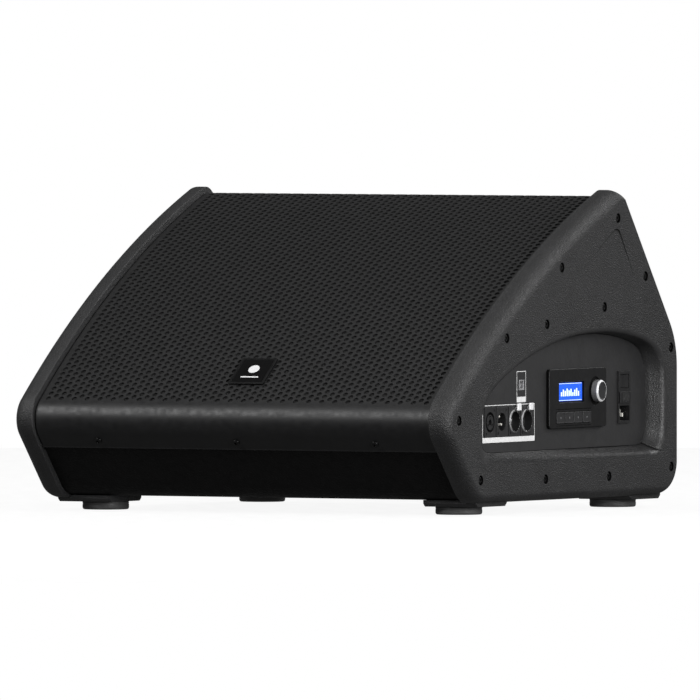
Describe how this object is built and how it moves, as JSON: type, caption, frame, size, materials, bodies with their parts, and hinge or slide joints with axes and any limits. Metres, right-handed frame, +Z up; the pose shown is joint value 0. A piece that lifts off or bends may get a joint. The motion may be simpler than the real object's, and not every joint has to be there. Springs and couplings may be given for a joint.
{
  "type": "stage monitor loudspeaker",
  "caption": "Powered floor wedge loudspeaker: plywood box between moulded cheeks, sloping bent perforated grille, coaxial driver, connector bay with display and knob in one cheek.",
  "frame": {"origin": "middle of the footprint, on the surface the feet stand on", "axes": "+X towards the cheek with the connector bay, -Y towards the front (the nose under the grille), +Z up"},
  "size_m": [0.52, 0.5119, 0.3355],
  "materials": {
    "moulded_cheek": "moulded polyurethane, fine pebbled texture, near black",
    "birch_plywood": "birch plywood, raw inside, painted black outside",
    "painted_plywood": "birch plywood painted matt black",
    "grille_steel": "powder-coated perforated steel, satin black",
    "grille_foam": "open-cell acoustic foam, black",
    "badge_plastic": "dark plate with an inlaid plain border",
    "port_plastic": "black moulded tube",
    "cast_frame": "die-cast aluminium, painted black",
    "surround_cloth": "treated cloth roll",
    "spider_cloth": "phenolic-treated woven cloth, amber",
    "cone_paper": "treated paper pulp, black",
    "coil_copper": "copper winding on a thin former",
    "zinc_steel": "zinc-plated mild steel",
    "ferrite": "sintered ferrite ceramic, dark grey",
    "horn_plastic": "glass-filled plastic, matt black",
    "hf_housing": "painted magnet housing",
    "titanium_foil": "bright metal foil dome",
    "sheet_aluminium": "bent sheet aluminium, plain mill finish",
    "circuit_board": "green solder mask with black parts",
    "supply_board": "brown board with capacitors",
    "panel_metal": "powder-coated plate, fine texture, dark grey",
    "spacer_brass": "turned brass",
    "connector_plastic": "glass-filled nylon, black",
    "plated_pins": "silver-plated brass",
    "nickel_shell": "nickel-plated die cast",
    "usb_shell": "plated sheet steel",
    "bezel_plastic": "black moulded bezel, semi-gloss",
    "display_glass": "backlit blue screen behind clear plastic",
    "key_rubber": "dark grey key caps",
    "encoder_steel": "plated steel",
    "knob_plastic": "grey knurled knob with a bright chamfer",
    "inlet_plastic": "black thermoplastic, semi-gloss",
    "fuse_glass": "glass tube with plated caps",
    "black_screws": "black oxide steel",
    "zinc_screws": "zinc-plated steel",
    "foot_rubber": "moulded black rubber",
    "printed_ink": "white screen print",
    "lead_insulation": "red insulated wire"
  },
  "bodies": {
    "cabinet": {"right_cheek": "moulded_cheek", "left_cheek": "moulded_cheek", "side_panel_right": "birch_plywood", "side_panel_left": "birch_plywood", "bottom_panel": "birch_plywood", "rear_panel": "painted_plywood", "rear_slope_panel": "painted_plywood", "lower_front_panel": "painted_plywood", "baffle": "birch_plywood", "grille": "grille_steel", "grille_foam": "grille_foam", "badge": "badge_plastic", "bass_ports": "port_plastic", "woofer_frame": "cast_frame", "woofer_surround": "surround_cloth", "woofer_spider": "spider_cloth", "magnet_top_plate": "zinc_steel", "ring_magnet": "ferrite", "pole_piece": "zinc_steel", "hf_horn": "horn_plastic", "hf_driver": "hf_housing", "hf_diaphragm": "titanium_foil", "amplifier_tray": "sheet_aluminium", "amplifier_board": "circuit_board", "power_supply_board": "supply_board", "heatsink": "sheet_aluminium", "connector_plate": "panel_metal", "io_board": "circuit_board", "board_spacers": "spacer_brass", "combo_jack": "connector_plastic", "xlr_socket": "connector_plastic", "xlr_pins": "plated_pins", "network_sockets": "nickel_shell", "usb_socket": "usb_shell", "control_bezel": "bezel_plastic", "display": "display_glass", "encoder_body": "encoder_steel", "power_inlet": "inlet_plastic", "inlet_pins": "plated_pins", "cheek_screws": "black_screws", "grille_screws": "black_screws", "driver_screws": "zinc_screws", "tray_screws": "zinc_screws", "foot_screws": "zinc_screws", "feet": "foot_rubber", "panel_marks": "printed_ink", "speaker_leads": "lead_insulation"},
    "woofer_cone": {"woofer_cone": "cone_paper", "voice_coil": "coil_copper"},
    "button_1": {"button_1": "key_rubber"},
    "button_2": {"button_2": "key_rubber"},
    "button_3": {"button_3": "key_rubber"},
    "button_4": {"button_4": "key_rubber"},
    "network_latch_1": {"network_latch_1": "nickel_shell"},
    "network_latch_2": {"network_latch_2": "nickel_shell"},
    "encoder_shaft": {"encoder_shaft": "encoder_steel"},
    "encoder_knob": {"encoder_knob": "knob_plastic"},
    "rocker_switch": {"rocker_switch": "inlet_plastic"},
    "fuse_drawer": {"fuse_drawer": "inlet_plastic", "fuse": "fuse_glass"}
  },
  "joints": [
    {"name": "cone_travel", "type": "slide", "parent": "cabinet", "child": "woofer_cone", "axis": [0, -0.515, 0.8572], "range_m": [-0.005, 0.005], "stiffness_N_per_m": 4000, "deforming": ["woofer_surround", "woofer_spider"]},
    {"name": "button_1_press", "type": "slide", "parent": "cabinet", "child": "button_1", "axis": [0.999, 0.045, 0], "range_m": [-0.0008, 0], "stiffness_N_per_m": 800},
    {"name": "button_2_press", "type": "slide", "parent": "cabinet", "child": "button_2", "axis": [0.999, 0.045, 0], "range_m": [-0.0008, 0], "stiffness_N_per_m": 800},
    {"name": "button_3_press", "type": "slide", "parent": "cabinet", "child": "button_3", "axis": [0.999, 0.045, 0], "range_m": [-0.0008, 0], "stiffness_N_per_m": 800},
    {"name": "button_4_press", "type": "slide", "parent": "cabinet", "child": "button_4", "axis": [0.999, 0.045, 0], "range_m": [-0.0008, 0], "stiffness_N_per_m": 800},
    {"name": "network_latch_1_press", "type": "slide", "parent": "cabinet", "child": "network_latch_1", "axis": [0.999, 0.045, 0], "range_m": [-0.0015, 0], "stiffness_N_per_m": 800},
    {"name": "network_latch_2_press", "type": "slide", "parent": "cabinet", "child": "network_latch_2", "axis": [0.999, 0.045, 0], "range_m": [-0.0015, 0], "stiffness_N_per_m": 800},
    {"name": "knob_push", "type": "slide", "parent": "cabinet", "child": "encoder_shaft", "axis": [0.999, 0.045, 0], "range_m": [-0.0008, 0], "stiffness_N_per_m": 1500},
    {"name": "knob_turn", "type": "hinge", "parent": "encoder_shaft", "child": "encoder_knob", "pos_m": [0.24742, 0.08542, 0.125], "axis": [0.999, 0.045, 0], "continuous": true},
    {"name": "rocker_tip", "type": "hinge", "parent": "cabinet", "child": "rocker_switch", "pos_m": [0.23952, 0.16104, 0.1335], "axis": [0, 0, 1], "range_deg": [0, 16]},
    {"name": "fuse_drawer_slide", "type": "slide", "parent": "cabinet", "child": "fuse_drawer", "axis": [0.999, 0.045, 0], "range_m": [0, 0.024]}
  ]
}
